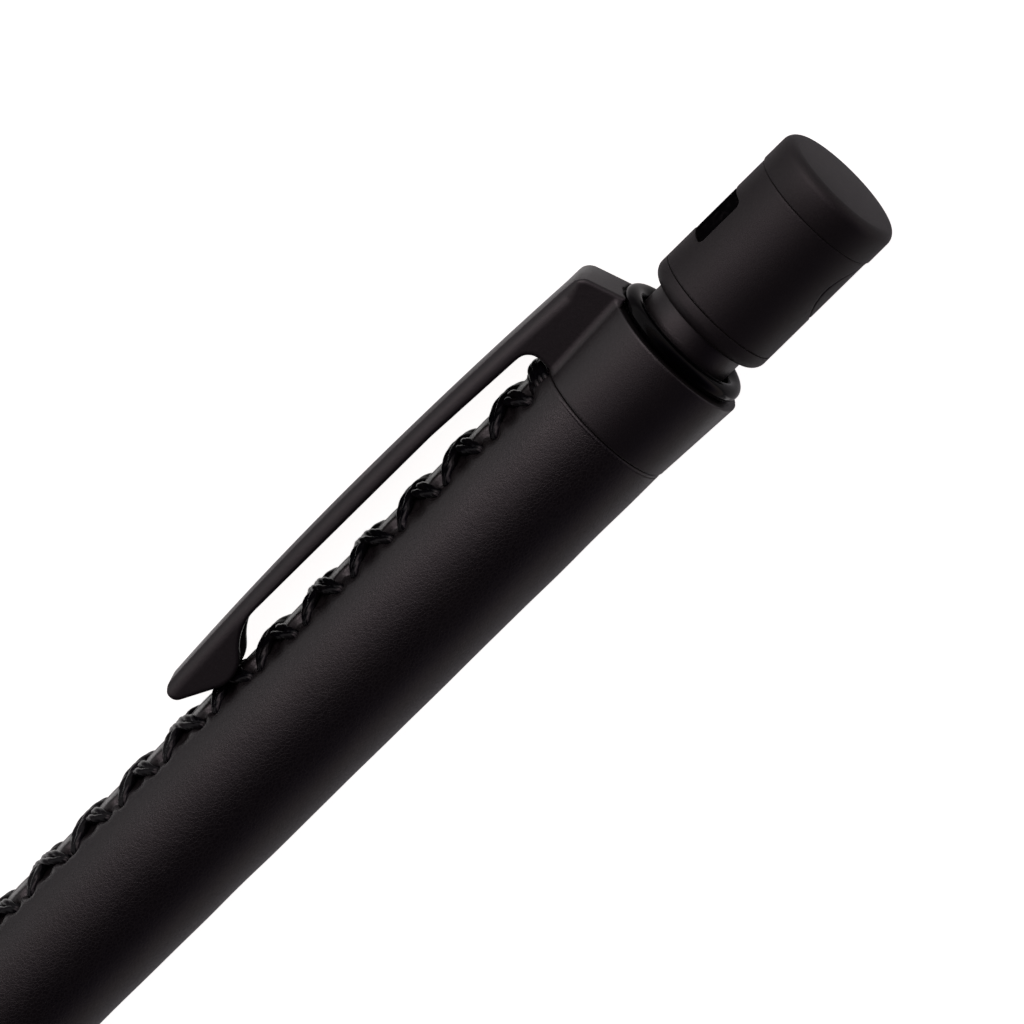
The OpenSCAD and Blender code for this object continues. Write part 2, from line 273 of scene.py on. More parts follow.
class Shader:
    """Builds one procedural material on the pencil's own millimetres."""

    def __init__(self, name, colour, rough, **sockets):
        self.material = bpy.data.materials.new(name)
        self.material.use_nodes = True
        self.tree = self.material.node_tree
        self.shader = self.tree.nodes["Principled BSDF"]
        self.colour, self.rough = colour, rough
        for key, value in sockets.items():
            self.shader.inputs[SOCKETS[key]].default_value = value
        self.tint_socket = None
        self.height = None
        coords = self.tree.nodes.new("ShaderNodeTexCoord")
        turn = self.node("ShaderNodeMapping")
        matrix = Matrix([ALONG, TO_CLIP, SIDEWAYS])
        turn.inputs["Rotation"].default_value = matrix.to_euler()
        turn.inputs["Location"].default_value = -(matrix @ ORIGIN) / MM
        turn.inputs["Scale"].default_value = (1 / MM,) * 3
        self.link(coords.outputs["Object"], turn.inputs["Vector"])
        self.place = turn.outputs["Vector"]

    def node(self, kind, **values):
        """A new node with those settings."""
        made = self.tree.nodes.new(kind)
        for key, value in values.items():
            setattr(made, key, value)
        return made

    def link(self, a, b):
        """Connects output a to input b."""
        self.tree.links.new(a, b)

    def stretched(self, scale):
        """The place vector with each axis multiplied, for long or flat grain."""
        made = self.node("ShaderNodeVectorMath", operation="MULTIPLY")
        self.link(self.place, made.inputs[0])
        made.inputs[1].default_value = scale
        return made.outputs[0]

    def noise(self, scale, detail=3, roughness=0.55, stretch=(1, 1, 1)):
        """Cloudy noise from zero to one, scale being its frequency per mm."""
        made = self.node("ShaderNodeTexNoise")
        self.link(self.stretched(stretch), made.inputs["Vector"])
        made.inputs["Scale"].default_value = scale
        made.inputs["Detail"].default_value = detail
        made.inputs["Roughness"].default_value = roughness
        return made.outputs["Fac"]

    def cells(self, scale, wobble, stretch):
        """Distance from the borders of cells, which wander a little."""
        noise = self.node("ShaderNodeTexNoise")
        self.link(self.place, noise.inputs["Vector"])
        noise.inputs["Scale"].default_value = scale * 0.9
        mix = self.node("ShaderNodeMix", data_type="VECTOR")
        mix.inputs["Factor"].default_value = wobble / scale
        self.link(self.stretched(stretch), mix.inputs[VECTOR_A])
        self.link(noise.outputs["Color"], mix.inputs[VECTOR_B])
        made = self.node("ShaderNodeTexVoronoi", feature="DISTANCE_TO_EDGE")
        made.inputs["Scale"].default_value = scale
        self.link(mix.outputs[VECTOR_OUT], made.inputs["Vector"])
        return made.outputs["Distance"]

    def ramp(self, value, low, high, out_low=0.0, out_high=1.0):
        """A smooth step of the value between low and high."""
        made = self.node("ShaderNodeMapRange", interpolation_type="SMOOTHSTEP")
        self.link(value, made.inputs["Value"])
        for socket, number in zip(RANGE, (low, high, out_low, out_high)):
            made.inputs[socket].default_value = number
        return made.outputs["Result"]

    def maths(self, operation, a, b):
        """a and b put together, each a socket or a number."""
        made = self.node("ShaderNodeMath", operation=operation)
        for socket, value in zip(made.inputs, (a, b)):
            if isinstance(value, (int, float)):
                socket.default_value = value
            else:
                self.link(value, socket)
        return made.outputs[0]

    def tint(self, mask, colour):
        """Mixes colour in where the mask is one."""
        made = self.node("ShaderNodeMix", data_type="RGBA")
        self.link(mask, made.inputs["Factor"])
        if self.tint_socket is None:
            made.inputs[COLOUR_A].default_value = (*self.colour, 1)
        else:
            self.link(self.tint_socket, made.inputs[COLOUR_A])
        made.inputs[COLOUR_B].default_value = (*colour, 1)
        self.tint_socket = made.outputs[COLOUR_OUT]

    def roughen(self, mask, amount):
        """Adds amount to the roughness where the mask is one."""
        self.rough = self.maths("ADD", self.rough, self.maths("MULTIPLY", mask, amount))

    def raise_by(self, mask, height):
        """Adds a relief of that height in mm where the mask is one."""
        part = self.maths("MULTIPLY", mask, height * MM)
        self.height = part if self.height is None else self.maths("ADD", self.height, part)

    def rubbed(self, scale=1.4):
        """A mask of the patches that handling has rubbed, drawn out along the pencil."""
        patches = self.noise(scale, detail=5, roughness=0.7, stretch=(0.35, 1, 1))
        return self.ramp(patches, 0.60, 0.78)

    def done(self):
        """Connects colour, roughness and relief, and gives the material."""
        if self.tint_socket is None:
            self.shader.inputs["Base Color"].default_value = (*self.colour, 1)
        else:
            self.link(self.tint_socket, self.shader.inputs["Base Color"])
        if isinstance(self.rough, (int, float)):
            self.shader.inputs["Roughness"].default_value = self.rough
        else:
            self.link(self.rough, self.shader.inputs["Roughness"])
        if self.height is not None:
            bump = self.node("ShaderNodeBump")
            bump.inputs["Distance"].default_value = 1.0
            bump.inputs["Strength"].default_value = 1.0
            self.link(self.height, bump.inputs["Height"])
            self.link(bump.outputs["Normal"], self.shader.inputs["Normal"])
        return self.material


def make_leather():
    """Smooth black calf: fine pebbled grain, pores and a few scuffs."""
    s = Shader("black_leather", (0.0040, 0.0032, 0.0037), 0.34, specular=0.5)
    grain = s.cells(4.2, wobble=0.5, stretch=(0.8, 1, 1))
    fine = s.noise(9, detail=4)
    broad = s.noise(0.22, detail=2)
    scuff = s.rubbed()
    s.raise_by(s.ramp(grain, 0.0, 0.12), 0.006)
    s.raise_by(fine, 0.012)
    s.raise_by(s.noise(1.3, detail=3), 0.016)
    s.tint(s.ramp(fine, 0.35, 0.75), (0.0062, 0.0050, 0.0052))
    s.tint(s.ramp(broad, 0.4, 0.7), (0.0050, 0.0040, 0.0040))
    s.tint(scuff, (0.0085, 0.0070, 0.0070))
    s.roughen(s.ramp(grain, 0.0, 0.2, 1, 0), 0.10)
    s.roughen(scuff, 0.08)
    s.roughen(broad, 0.05)
    return s.done()


def make_lacquer(name, rough, specular):
    """Matte brown-black lacquer on metal, with the dry grain of a sprayed coat."""
    s = Shader(name, (0.0052, 0.0042, 0.0046), rough, specular=specular)
    speck = s.noise(11, detail=3)
    broad = s.noise(0.3, detail=2)
    s.raise_by(speck, 0.010)
    s.raise_by(s.noise(3.2, detail=2), 0.008)
    s.tint(s.ramp(speck, 0.4, 0.8), (0.0075, 0.0062, 0.0062))
    rubbed = s.rubbed(scale=1.1)
    s.tint(rubbed, (0.0100, 0.0086, 0.0084))
    s.roughen(rubbed, 0.05)
    s.roughen(speck, 0.10)
    s.roughen(broad, 0.06)
    return s.done()


def make_gloss():
    """Polished black, with faint turning lines and haze."""
    s = Shader("black_gloss", (0.0015, 0.0015, 0.0018), 0.11, specular=0.10)
    lines = s.noise(7, detail=2, stretch=(6, 0.2, 0.2))
    s.raise_by(lines, 0.0012)
    s.tint(s.noise(2), (0.003, 0.003, 0.0036))
    s.tint(s.rubbed(), (0.006, 0.0056, 0.0055))
    s.roughen(s.ramp(s.noise(1.7, detail=4), 0.45, 0.7), 0.08)
    return s.done()


def make_thread():
    """Black waxed thread: fine fibres, with wax gathered in the lay."""
    s = Shader("waxed_thread", (0.0018, 0.0018, 0.0026), 0.15, specular=0.14)
    fibre = s.noise(14, detail=3, stretch=(0.5, 1, 1))
    s.raise_by(fibre, 0.008)
    s.tint(s.ramp(fibre, 0.5, 0.8), (0.005, 0.005, 0.0065))
    s.tint(s.ramp(s.noise(0.8), 0.5, 0.7), (0.004, 0.0035, 0.004))
    s.roughen(s.ramp(s.noise(2.5), 0.4, 0.7), 0.10)
    return s.done()


def make_metal(name, colour, dark, rough):
    """Turned metal: fine lines round it, tarnish in broad patches, rubbed bright in places."""
    s = Shader(name, colour, rough, metallic=1.0)
    turning = s.noise(6, detail=3, stretch=(8, 0.15, 0.15))
    patches = s.ramp(s.noise(0.5, detail=5, roughness=0.65), 0.45, 0.7)
    s.raise_by(turning, 0.0015)
    s.tint(patches, dark)
    s.tint(s.rubbed(), tuple(min(1, c * 1.2) for c in colour))
    s.roughen(patches, 0.12)
    s.roughen(turning, 0.08)
    return s.done()


def make_graphite():
    """Pressed graphite: dark grey with a slight metallic sheen and drawn streaks."""
    s = Shader("graphite", (0.035, 0.035, 0.038), 0.38, metallic=0.55)
    streak = s.noise(5, detail=4, stretch=(0.15, 1, 1))
    s.raise_by(streak, 0.006)
    s.tint(s.ramp(streak, 0.4, 0.7), (0.075, 0.075, 0.08))
    s.tint(s.ramp(s.noise(12, detail=3), 0.6, 0.75), (0.015, 0.015, 0.016))
    s.roughen(s.ramp(s.noise(1.5), 0.4, 0.7), 0.15)
    return s.done()


def make_rubber():
    """Black nitrile rubber with mould dust."""
    s = Shader("rubber", (0.012, 0.012, 0.012), 0.55, specular=0.4)
    s.raise_by(s.noise(9, detail=3), 0.006)
    s.tint(s.ramp(s.noise(1.2, detail=4), 0.5, 0.75), (0.03, 0.03, 0.03))
    s.roughen(s.noise(3), 0.2)
    return s.done()


def make_plastic():
    """Moulded black plastic, satin, with a faint mould texture."""
    s = Shader("black_plastic", (0.0020, 0.0020, 0.0024), 0.50, specular=0.0)
    s.raise_by(s.noise(8, detail=2), 0.004)
    s.tint(s.ramp(s.noise(1.6, detail=4), 0.45, 0.7), (0.007, 0.007, 0.0072))
    s.tint(s.rubbed(), (0.006, 0.006, 0.006))
    s.roughen(s.noise(2.5, detail=3), 0.12)
    return s.done()


# where the paper's painted reflection changes beside the pencil, in mm towards the clip; it is
# left dark in a band where the pencil's own shadow would fall
PAPER_FAR, PAPER_UNDER, PAPER_NEAR = (14.0, 18.0), (10.8, 9.6), (0.0, 3.0)
PAPER_END = (1.5, -1.5)       # and along it, at the collar's button end
PAPER_BACK = (-18.0, -26.0)   # on its other side, and where that light starts and stops along it
PAPER_BACK_ENDS = (-18.0, -10.0), (-2.0, -8.0)
GLOW_SEEN, GLOW_FAR, GLOW_UNDER, GLOW_BELOW_CLIP = 0.95, 0.42, 0.15, 0.70


def make_floor():
    """Seamless white studio paper. Its glow is seen directly, evenly, and mirrored as painted
    bands of reflected light past the pencil's own shadow, but lights nothing."""
    s = Shader("studio_paper", (0.84, 0.90, 0.88), 0.75, specular=0.0, glow=(1, 0.98, 0.97, 1))
    path = s.node("ShaderNodeLightPath")
    split = s.node("ShaderNodeSeparateXYZ")
    s.link(s.place, split.inputs[0])
    along, across = split.outputs["X"], split.outputs["Y"]
    # painted reflection: bands of glow that only mirrored rays see, dark in a band where the
    # pencil's shadow would fall
    below_clip = s.maths("MULTIPLY", s.ramp(across, *PAPER_NEAR, 0, GLOW_BELOW_CLIP),
                         s.ramp(along, *PAPER_END))
    below = s.maths("MULTIPLY", s.ramp(across, *PAPER_UNDER),
                    s.maths("ADD", below_clip, GLOW_UNDER))
    back = s.ramp(across, *PAPER_BACK)
    for ends in PAPER_BACK_ENDS:
        back = s.maths("MULTIPLY", back, s.ramp(along, *ends))
    lit = s.maths("ADD", s.maths("ADD", s.ramp(across, *PAPER_FAR, 0, GLOW_FAR), below), back)
    mirrored = s.maths("MULTIPLY", path.outputs["Is Glossy Ray"], lit)
    seen = s.maths("MULTIPLY", path.outputs["Is Camera Ray"], GLOW_SEEN)
    s.link(s.maths("ADD", seen, mirrored), s.shader.inputs["Emission Strength"])
    fibre = s.noise(0.9, detail=4)
    s.raise_by(fibre, 0.02)
    s.tint(s.ramp(fibre, 0.4, 0.7), (0.85, 0.92, 0.90))
    return s.done()


# ---------------------------------------------------------------- the clip and its collar

CLIP_HALF_W = 2.55
CLIP_SHEET = 0.8                      # thickness of the side walls
CLIP_TOP_T = 0.9                      # and of the back
CREST_U, CREST_H = -24.5, 9.88        # the highest point of the clip's bow
BOW_TO_ROOT, BOW_TO_FOOT = 455, 330   # radius of the bow on each side of it
FOOT_U = -46                          # middle of the foot's rounded end
FLARE_R, FLARE_RISE = 6.035, 0.0448   # the collar's radius at the leather, and its widening
FLARE_FROM = -7.55
BUSH_ROOM_R = 6.05                    # the clip's rear wall is cut away round the bush


def clip_crest(u):
    """Height of the clip's outer face above the axis."""
    u = np.asarray(u, float)
    return CREST_H - (u - CREST_U) ** 2 / np.where(u > CREST_U, 2 * BOW_TO_ROOT, 2 * BOW_TO_FOOT)


def crest_line(start, end, steps, drop=0.0):
    """Points along the clip's outer face, or that far under it."""
    u = np.linspace(start, end, steps + 1)
    return np.stack([u, clip_crest(u) - drop], 1)


def clip_side_outline():
    """The clip seen from the side, foot to root, with the legs of the root in the collar."""
    return np.concatenate([
        crest_line(-1.4, FOOT_U, 40), arc((FOOT_U, 8.38), 0.8, 96, 240, 12),
        arc((-42.5, 8.64), 2.6, 240, 320, 12), arc((-37.15, 4.16), 4.37, 140, 90, 10),
        [(-17.7, 8.53), (-8.93, 8.13)], arc((-8.6, 6.9), 1.2, 88, 0, 10),
        [(-7.4, 5.3), (0.85, 5.3)], arc((-1.4, 8.05), 1.25, 18.9, 88, 10)])


def clip_channel_outline():
    """The open space between the clip's side walls."""
    return np.concatenate([
        crest_line(-1.5, -44.6, 40, CLIP_TOP_T), [(-45.5, 8.08), (-45.5, 4.6)],
        [(0.05, 4.6), (0.05, 5.3)], arc((-1.5, 7.95), 0.45, 18.9, 88, 5)])


def clip_field(u, h, w):
    """The clip as a channel with a rounded back, joined to the flared collar."""
    side = outline_field(u, h, clip_side_outline())
    channel = outline_field(u, h, clip_channel_outline())
    shoulder = np.interp(u, (-2.4, -0.6), (1.05, 0.28))
    body = np.maximum(cut(side, np.abs(w) - CLIP_HALF_W, 0.25),
                      cut(h - clip_crest(u), np.abs(w) - CLIP_HALF_W, shoulder))
    hollow = cut(channel, np.abs(w) - (CLIP_HALF_W - CLIP_SHEET), 0.15)
    body = cut(body, -hollow, 0.12)
    r = np.hypot(h, w)
    flare = r - (FLARE_R + (u - FLARE_FROM) * FLARE_RISE)
    ring = cut(cut(flare, u, 0.06), LEATHER_TO - u, 0.10)
    both = cut(join(body, ring, 0.45), ON_TUBE_R - r, 0.08)
    bush_room = np.minimum(BUSH_ROOM_R - r, u)
    return np.maximum(both, bush_room)


def make_clip(material):
    """Clip and collar as the one pressing that they are."""
    obj = implicit("clip_and_collar", clip_field, (-47.2, -6.8, -6.8), (1.2, 10.3, 6.8),
                   0.12, material)
    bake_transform(obj)
    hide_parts("clip_collar", "clip_arm")


# ---------------------------------------------------------------- leather and its seam

SEED = 11

# the cross stitches, and how much the hand-made ones differ
STITCH_PITCH = 5.18
STITCH_FIRST = -12.15
STITCH_COUNT = 17
STITCH_HALF = 1.92
FOOT_ANGLE = math.radians(26)
PLACE_SPREAD, LEAN_SPREAD = 0.10, 0.06
HALF_RANGE, FOOT_RANGE = (0.93, 1.07), (0.96, 1.05)

# relief of the seam, each as a depth or height and a width
SEAM_HALF_W, SEAM_EDGE = 1.95, 0.10   # the flat top and the softness of its edge
SEAM_TOP, SEAM_FALL = 0.66, 0.03      # its height as a share of the swelling, and its fall
CREASE, CREASE_OUT, CREASE_W = 0.12, 0.34, 0.16
JOINT, JOINT_AT_STITCH, JOINT_W = 0.10, 0.30, 0.15
PIT, PIT_LEN = 0.62, 0.85             # below each crossing
PIT_ANGLE, PIT_SPREAD = 0.66, 0.42    # as shares of the foot's angle
TRACK, TRACK_W = 0.16, 0.62           # under each thread
HOLE, HOLE_W = 0.50, 0.58             # where a thread goes through
TURNED_EDGE = 0.30                    # radius of the leather's two ends
SWELL_W = 2.6                         # width of the leather's swelling beside the seam
WAVES, WAVE_HEIGHT, WAVE_LENGTH = 14, 0.012, 17


def stitch_table():
    """Each stitch: its place along the seam, half length, foot angle, twist and lean."""
    draw = np.random.default_rng(SEED)
    rows = []
    for i in range(STITCH_COUNT):
        rows.append((STITCH_FIRST - i * STITCH_PITCH + draw.normal(0, PLACE_SPREAD),
                     STITCH_HALF * draw.uniform(*HALF_RANGE),
                     FOOT_ANGLE * draw.uniform(*FOOT_RANGE),
                     draw.uniform(0, 2 * math.pi), draw.normal(0, LEAN_SPREAD)))
    return rows


STITCHES = stitch_table()


def seam_rise(u):
    """How far the leather stands up beside the seam: it swells towards the collar."""
    places = [LEATHER_FROM, -76, -68, -12, LEATHER_TO]
    return np.interp(u, places, [-0.10, -0.14, -0.12, 0.42, 0.44])


def smooth_waves(angle, u):
    """Seeded low waves, as in leather drawn over a tube by hand."""
    draw = np.random.default_rng(SEED + 1)
    total = 0
    for _ in range(WAVES):
        turns = draw.integers(0, 7)
        length = WAVE_LENGTH * draw.uniform(0.25, 1)
        total = total + np.cos(turns * angle + 2 * math.pi * u / length
                               + draw.uniform(0, 2 * math.pi))
    return WAVE_HEIGHT * total / math.sqrt(WAVES)


def leather_base(angle, u):
    """The leather's surface before the seam and the stitches press into it."""
    side = (angle * BARREL_R / SWELL_W) ** 2
    return BARREL_R + seam_rise(u) * np.exp(-side)


def stitch_marks(a, v, centre, half, foot, lean):
    """How deep one stitch presses into the leather at angle a and place v."""
    pit = (((np.abs(a) - PIT_ANGLE * foot) / (PIT_SPREAD * foot)) ** 2
           + ((v - centre) / PIT_LEN) ** 2)
    depth = PIT * np.exp(-pit)
    for lay in (-1, 1):
        along = np.clip(a / foot, -1, 1)
        line = v - (centre + lay * half * along + lean * along)
        depth = depth + TRACK * np.exp(-(line / TRACK_W) ** 2) / (
            1 + np.exp((np.abs(a) - foot) * 60))
        for end in (-1, 1):
            gap = np.hypot((a - end * foot) * BARREL_R, v - centre - end * (lay * half + lean))
            depth = depth + HOLE * np.exp(-(gap / HOLE_W) ** 2)
    return depth


def leather_radius(angle, u):
    """The leather's surface: a flat-topped seam, drawn down and pitted at every stitch."""
    s = angle * BARREL_R
    base = leather_base(angle, u)
    r = base + smooth_waves(angle, u)
    away = np.min([np.abs(u - row[0]) for row in STITCHES], axis=0) / (STITCH_PITCH / 2)
    between = np.clip(away, 0, 1) ** 2 * (3 - 2 * np.clip(away, 0, 1))
    flat = ((BARREL_R + SEAM_TOP * seam_rise(u)) / np.cos(np.clip(angle, -0.4, 0.4))
            - SEAM_FALL * s ** 2)
    on_top = 1 / (1 + np.exp((np.abs(s) - SEAM_HALF_W) / SEAM_EDGE))
    r = r + on_top * (flat - base) * (0.25 + 0.75 * between)
    r = r - CREASE * np.exp(-((np.abs(s) - SEAM_HALF_W - CREASE_OUT) / CREASE_W) ** 2) * between
    r = r - (JOINT + JOINT_AT_STITCH * (1 - between)) * np.exp(-(s / JOINT_W) ** 2)
    for centre, half, foot, _, lean in STITCHES:
        near = np.abs(u[:, 0] - centre) < 4
        if near.any():
            r[near] -= stitch_marks(angle, u[near], centre, half, foot, lean)
    for end in (LEATHER_FROM, LEATHER_TO):
        e = np.clip(TURNED_EDGE - np.abs(u - end), 0, TURNED_EDGE)
        r = r - (TURNED_EDGE - np.sqrt(TURNED_EDGE ** 2 - e ** 2))
    return r


def make_leather_sleeve(material):
    """The leather wrap: turned ends, edges drawn together and puffed between the stitches."""
    step = 0.12
    near, coarse = math.radians(50), math.radians(3)
    fine = step / BARREL_R
    middle = np.linspace(-near, near, int(2 * near / fine))
    rest = np.linspace(near, 2 * math.pi - near, int((2 * math.pi - 2 * near) / coarse))[1:-1]
    angle = np.concatenate([middle, rest - 2 * math.pi * (rest > math.pi)])
    tip = TURNED_EDGE * (1 - np.cos(np.linspace(0, math.pi / 2, 7)))
    inner = np.arange(LEATHER_FROM + TURNED_EDGE, LEATHER_TO - TURNED_EDGE, step)[1:]
    rows = np.concatenate([LEATHER_FROM + tip, inner, LEATHER_TO - tip[::-1]])
    u = rows[:, None] + 0 * angle[None, :]
    a = angle[None, :]
    r = leather_radius(a, u)
    points = np.stack([u, r * np.cos(a), r * np.sin(a)], -1)
    bore = [np.stack([0 * angle + end, ON_TUBE_R * np.cos(angle), ON_TUBE_R * np.sin(angle)], -1)
            for end in (LEATHER_TO, LEATHER_FROM)]
    points = np.concatenate([points, np.array(bore)])
    faces = grid_faces(len(rows) + 2, len(angle), wrap_rows=True)
    obj = add_mesh("leather_wrap", points, faces, material)
    obj.data.set_sharp_from_angle(angle=math.radians(60))
    finish_piece(obj, "barrel", "leather", "leather_sleeve")


THREAD_R = 0.40
THREAD_PLIES, THREAD_LAY = 3, 3.4     # the thread's strands, and the length of one turn of them
THREAD_PAIR = 0.35                    # from the middle of a doubled thread to each of the two
STRAND_T = np.linspace(-1.14, 1.14, 58)       # from before one hole, at -1, to past the other
STRAND_LIFT, STRAND_FALL = 0.04, 0.50         # a thread over the leather: middle and feet
UNDER_DIP, UNDER_LEN = 0.30, 0.26             # where it passes under the other one
END_DIVE = 5.5                                # how steeply it goes down into its hole
TACK_FOOT_R = 5.35


def thread_tube(path, twist, offset):
    """Points and faces of a twisted thread along a path of (u, h, w) points, laid that far
    beside it."""
    sides = THREAD_PLIES * 6
    tangent = np.gradient(path, axis=0)
    tangent /= np.linalg.norm(tangent, axis=1, keepdims=True)
    outward = path * (0, 1, 1)
    outward -= tangent * (outward * tangent).sum(1, keepdims=True)
    outward /= np.linalg.norm(outward, axis=1, keepdims=True)
    across = np.cross(tangent, outward)
    spread = np.clip((1.05 - np.abs(STRAND_T)) / 0.45, 0.25, 1)[:, None]
    path = path + across * offset * spread
    run = np.concatenate([[0], np.cumsum(np.linalg.norm(np.diff(path, axis=0), axis=1))])
    phi = np.arange(sides) * 2 * math.pi / sides
    lobe = THREAD_R * (0.88 + 0.12 * np.abs(np.cos(THREAD_PLIES * phi / 2)) ** 0.8)
    turn = phi[None, :] + twist + (2 * math.pi * run / THREAD_LAY)[:, None]
    ring = (outward[:, None] * (lobe * np.cos(turn))[..., None]
            + across[:, None] * (lobe * np.sin(turn))[..., None])
    return tube_mesh(path[:, None] + ring)


def strand_path(centre, half, foot, lay, lean, over):
    """One thread of a cross stitch: up out of its hole, over the seam and down again."""
    t = STRAND_T
    along = np.clip(t, -1, 1)
    slowed = along + 0.25 * (t - along)
    angle = foot * slowed
    u = centre + (lay * half + lean) * slowed
    lift = STRAND_LIFT - STRAND_FALL * along ** 2
    if not over:
        lift -= UNDER_DIP * np.exp(-(t / UNDER_LEN) ** 2)
    lift -= END_DIVE * np.clip(np.abs(t) - 1, 0, 1) ** 0.9
    r = leather_base(angle, u) + lift
    return np.stack([u, r * np.cos(angle), r * np.sin(angle)], -1)


def tack_path(u, foot, top, slant):
    """A plain turn of thread straight over the seam, beside the collar."""
    along = np.clip(STRAND_T, -1, 1)
    angle = foot * along
    r = TACK_FOOT_R + (top - TACK_FOOT_R) * np.cos(along * math.pi / 2) ** 0.45
    return np.stack([u + slant * STRAND_T, r * np.cos(angle), r * np.sin(angle)], -1)


# the tack's turns: place, angle of its feet in degrees, height and slant
TACK = [(-8.12, 25, 6.46, 0.05), (-8.45, 24, 6.60, -0.06), (-8.82, 25, 6.56, -0.14),
        (-9.14, 27, 6.26, -0.28)]


def make_stitches(material):
    """Cross stitches in twisted waxed thread, and the tack that ends the seam."""
    draw = np.random.default_rng(SEED + 2)
    points, faces, count = [], [], 0
    paths = []
    for centre, half, foot, twist, lean in STITCHES:
        top = 1 if draw.random() < 0.5 else -1
        for lay in (-1, 1):
            path = strand_path(centre, half, foot, lay, lean, lay == top)
            paths += [(path, twist + lay, -THREAD_PAIR), (path, twist - lay, THREAD_PAIR)]
    for u, foot, top, slant in TACK:
        paths.append((tack_path(u, math.radians(foot), top, slant), u, 0))
    for path, twist, offset in paths:
        p, f = thread_tube(path, twist, offset)
        points.append(p)
        faces += [[k + count for k in face] for face in f]
        count += len(p)
    obj = add_mesh("seam_threads", np.concatenate(points), faces, material)
    finish_piece(obj, "barrel", "waxed_thread", "seam_stitches")


# ---------------------------------------------------------------- turned pieces

def make_end_bush(material):
    """Polished bush: a round lip outside the collar and a shank inside the tube."""
    lip = arc((0.75, 5.18), 0.72, 187, -90, 40)
    outline = np.concatenate([[(-4.5, 4.34), (-4.46, 4.30)], [(-0.34, 4.30), (-0.30, 4.34)],
                              [(-0.30, 4.46)], lip[::-1], [(-4.46, 5.09), (-4.5, 5.05)]])
    return finish_piece(lathe("end_bush_polished", outline, material, 192),
                        "barrel", "black_gloss", "end_bush")


def make_stem(lacquer):
    """The tube between bush and button, with a groove for the rubber ring."""
    outline = rounded([(-16, 3.51), (-16, STEM_R, 0.1), (4.58, STEM_R, 0.05), (4.58, 3.81, 0.05),
                       (5.02, 3.81, 0.05), (5.02, STEM_R, 0.05), (6.6, STEM_R, 0.30),
                       (6.6, 3.10, 0.15), (-8, 3.10), (-8, 3.51)])
    finish_piece(lathe("stem_turned", outline, lacquer, 160), "plunger", "black_lacquer", "stem")


def make_stem_ring(rubber):
    """The rubber ring that holds the push button on the stem."""
    finish_piece(lathe("stem_ring", arc((4.8, 4.05), 0.21, 0, 345, 23), rubber, 160),
                 "plunger", "rubber", "stem_o_ring")


def make_button_base(lacquer):
    """The push button's lower ring, below the first parting line."""
    base = np.concatenate([
        [(3.2, 4.36), (3.26, ON_STEM_R), (5.89, ON_STEM_R), (5.95, 4.36), (5.95, 4.53),
         (5.89, CORE_R), (4.82, CORE_R)],
        arc((4.78, 5.46), 0.04, 0, 90, 5), arc((4.2, 4.5), 1.0, 90, 179, 16)])
    finish_piece(lathe("button_base_ring", base, lacquer, 192),
                 "button", "black_lacquer", "button_base")


def make_button_end(lacquer):
    """The push button's end cap, above the second parting line."""
    crown = arc((17.50, 4.66), 0.93, 90, 14, 14)
    end = np.concatenate([[(14.45, 0), (14.45, 4.49), (14.55, CORE_R), (15.43, CORE_R),
                           (15.43, 5.52), (15.46, 5.57), (15.52, CAP_R)], crown,
                          [(18.42, 4.80), (18.46, 0)]])
    finish_piece(lathe("button_end_cap", end, lacquer, 192),
                 "button", "black_lacquer", "button_end")


# ---------------------------------------------------------------- the button's openings

WINDOW_U, WINDOW_HALF, WINDOW_CORNER = 10.05, (2.25, 2.8), 0.5
HOLE_U, HOLE_R = 12.1, 3.0
PAD_ROOM, BOSS_ROOM = 0.08, 0.05      # between the edge of an opening and what fills it
SHELL_MIDDLE, SHELL_HALF = 10.125, 5.275
CORE_MIDDLE, CORE_HALF = 10.625, 3.775


def window_field(u, w, smaller=0.0):
    """A rounded rectangle on the clip side, its edges moved inwards that far."""
    a = np.abs(u - WINDOW_U) - WINDOW_HALF[0] + smaller + WINDOW_CORNER
    b = np.abs(w) - WINDOW_HALF[1] + smaller + WINDOW_CORNER
    return (np.hypot(np.maximum(a, 0), np.maximum(b, 0)) + np.minimum(np.maximum(a, b), 0)
            - WINDOW_CORNER)


def shell_field(u, h, w):
    """The middle of the push button, with its window and its round hole."""
    r = np.hypot(h, w)
    wall = cut(r - BUTTON_R, np.abs(u - SHELL_MIDDLE) - SHELL_HALF, 0.04)
    wall = cut(wall, 4.60 - r, 0.05)
    window = np.maximum(window_field(u, w), -h)
    hole = np.maximum(np.hypot(u - HOLE_U, w) - HOLE_R, h)
    return cut(wall, -np.minimum(window, hole), 0.13)


def core_field(u, h, w):
    """The lead pointer's core, with a pad in the window, a tapered bore and the blade's slot."""
    r = np.hypot(h, w)
    body = cut(r - CORE_R, np.abs(u - CORE_MIDDLE) - CORE_HALF, 0.15)
    pad = np.maximum(window_field(u, w, PAD_ROOM), -h)
    body = join(body, cut(pad, r - 5.46, 0.10), 0.02)
    bore = r - np.where(u < 9.0, 2.95, 2.95 - (u - 9.0) * (2.45 / 4.2))
    slot = np.maximum(np.maximum(np.abs(w - 0.5) - 0.5, np.abs(u - WINDOW_U) - 1.6), -h)
    return cut(body, -np.minimum(bore, slot), 0.06)


def boss_field(u, h, w):
    """The lacquered round boss of the core, flush in the hole on the side away from the clip."""
    r = np.hypot(h, w)
    edge = np.hypot(u - HOLE_U, w) - (HOLE_R - BOSS_ROOM)
    disc = cut(edge, np.maximum(4.3 - r, h + 3.2), 0.02)
    return cut(disc, r - 5.48, 0.06)


def make_button_shell(lacquer):
    """The middle of the push button, between the parting lines."""
    finish_piece(implicit("button_shell_skin", shell_field, (4.4, -6.0, -6.0), (15.8, 6.0, 6.0),
                          0.13, lacquer), "button", "black_lacquer", "button_shell")


